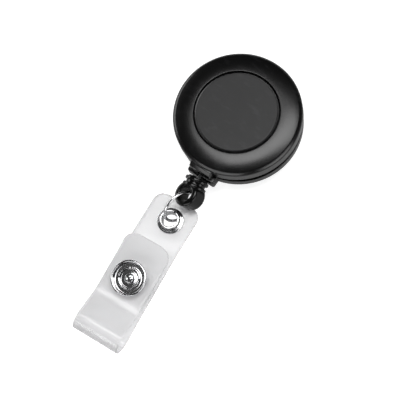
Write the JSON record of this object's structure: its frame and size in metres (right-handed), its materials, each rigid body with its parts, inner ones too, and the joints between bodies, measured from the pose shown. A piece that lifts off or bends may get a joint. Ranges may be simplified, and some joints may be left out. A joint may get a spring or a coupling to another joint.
{
  "type": "retractable badge reel",
  "caption": "Round belt-clip badge reel with a spring-wound cord, swivel end fitting, link ring and clear snap strap.",
  "frame": {"origin": "on the reel's axis, in the belt clip's flat outer face, which the reel lies on", "axes": "+Z out of the front face along the reel's axis, -Y the way the cord pulls out, +X to its side"},
  "size_m": [0.032, 0.0808, 0.0136],
  "materials": {
    "case_plastic": "moulded black ABS, satin gloss",
    "label_plastic": "blank dark grey insert, fine matte texture",
    "spool_plastic": "natural acetal",
    "spring_steel": "blued spring steel strip",
    "cord_nylon": "twisted black nylon cord",
    "fitting_plastic": "glossy black moulding",
    "bright_plate": "nickel-plated brass and steel wire",
    "clear_vinyl": "clear flexible vinyl",
    "clip_steel": "nickel-plated spring steel"
  },
  "bodies": {
    "case": {"front_cover": "case_plastic", "label_disc": "label_plastic", "back_cover": "case_plastic", "clip_base": "clip_steel", "clip_rivets": "clip_steel", "power_spring": "spring_steel", "cord_lead": "cord_nylon"},
    "spool": {"spool": "spool_plastic", "spool_cap": "spool_plastic", "cord_winding": "cord_nylon", "cord_anchor_knot": "cord_nylon"},
    "cord_end": {"cord_tail_knot": "cord_nylon"},
    "fitting": {"end_fitting": "fitting_plastic"},
    "ring": {"link_ring": "bright_plate"},
    "strap": {"strap_back": "clear_vinyl", "eyelet": "bright_plate", "eyelet_washer": "bright_plate", "snap_stud": "bright_plate", "stud_rivet": "bright_plate"},
    "flap": {"strap_flap": "clear_vinyl", "snap_cap": "bright_plate", "snap_socket": "bright_plate", "snap_spring": "spring_steel"},
    "tongue": {"clip_tongue": "clip_steel"}
  },
  "joints": [
    {"name": "cord_pull", "type": "slide", "parent": "case", "child": "cord_end", "axis": [0, -1, 0], "range_m": [0, 0.85], "stiffness_N_per_m": 0.8, "springref_m": -0.62, "deforming": ["cord_lead"]},
    {"name": "spool_spin", "type": "hinge", "parent": "case", "child": "spool", "pos_m": [0, 0, 0.0077], "axis": [0, 0, 1], "range_deg": [-4320, 0], "deforming": ["power_spring"]},
    {"name": "fitting_twist", "type": "hinge", "parent": "cord_end", "child": "fitting", "pos_m": [0.00023, -0.01977, 0.00747], "axis": [0.121, -0.9851, -0.1219], "continuous": true},
    {"name": "ring_swing", "type": "hinge", "parent": "fitting", "child": "ring", "pos_m": [0.00071, -0.02189, 0.0073], "axis": [-0.3176, -0.1132, 0.9414], "range_deg": [-45, 45]},
    {"name": "strap_swing", "type": "hinge", "parent": "ring", "child": "strap", "pos_m": [-0.00015, -0.0261, 0.0065], "axis": [0.9278, -0.242, 0.2839], "range_deg": [-80, 2]},
    {"name": "flap_open", "type": "hinge", "parent": "strap", "child": "flap", "pos_m": [0.00067, -0.06447, 0.0033], "axis": [0.9986, 0.0523, 0], "range_deg": [0, 150], "deforming": ["snap_spring"]},
    {"name": "clip_flex", "type": "hinge", "parent": "case", "child": "tongue", "pos_m": [0, 0.01385, 0.00185], "axis": [1, 0, 0], "range_deg": [0, 8], "stiffness_Nm_per_rad": 0.5, "springref_deg": -3.44}
  ],
  "couplings": [
    {"joint": "spool_spin", "follows": "cord_pull", "rad_per_m": -88.496}
  ]
}
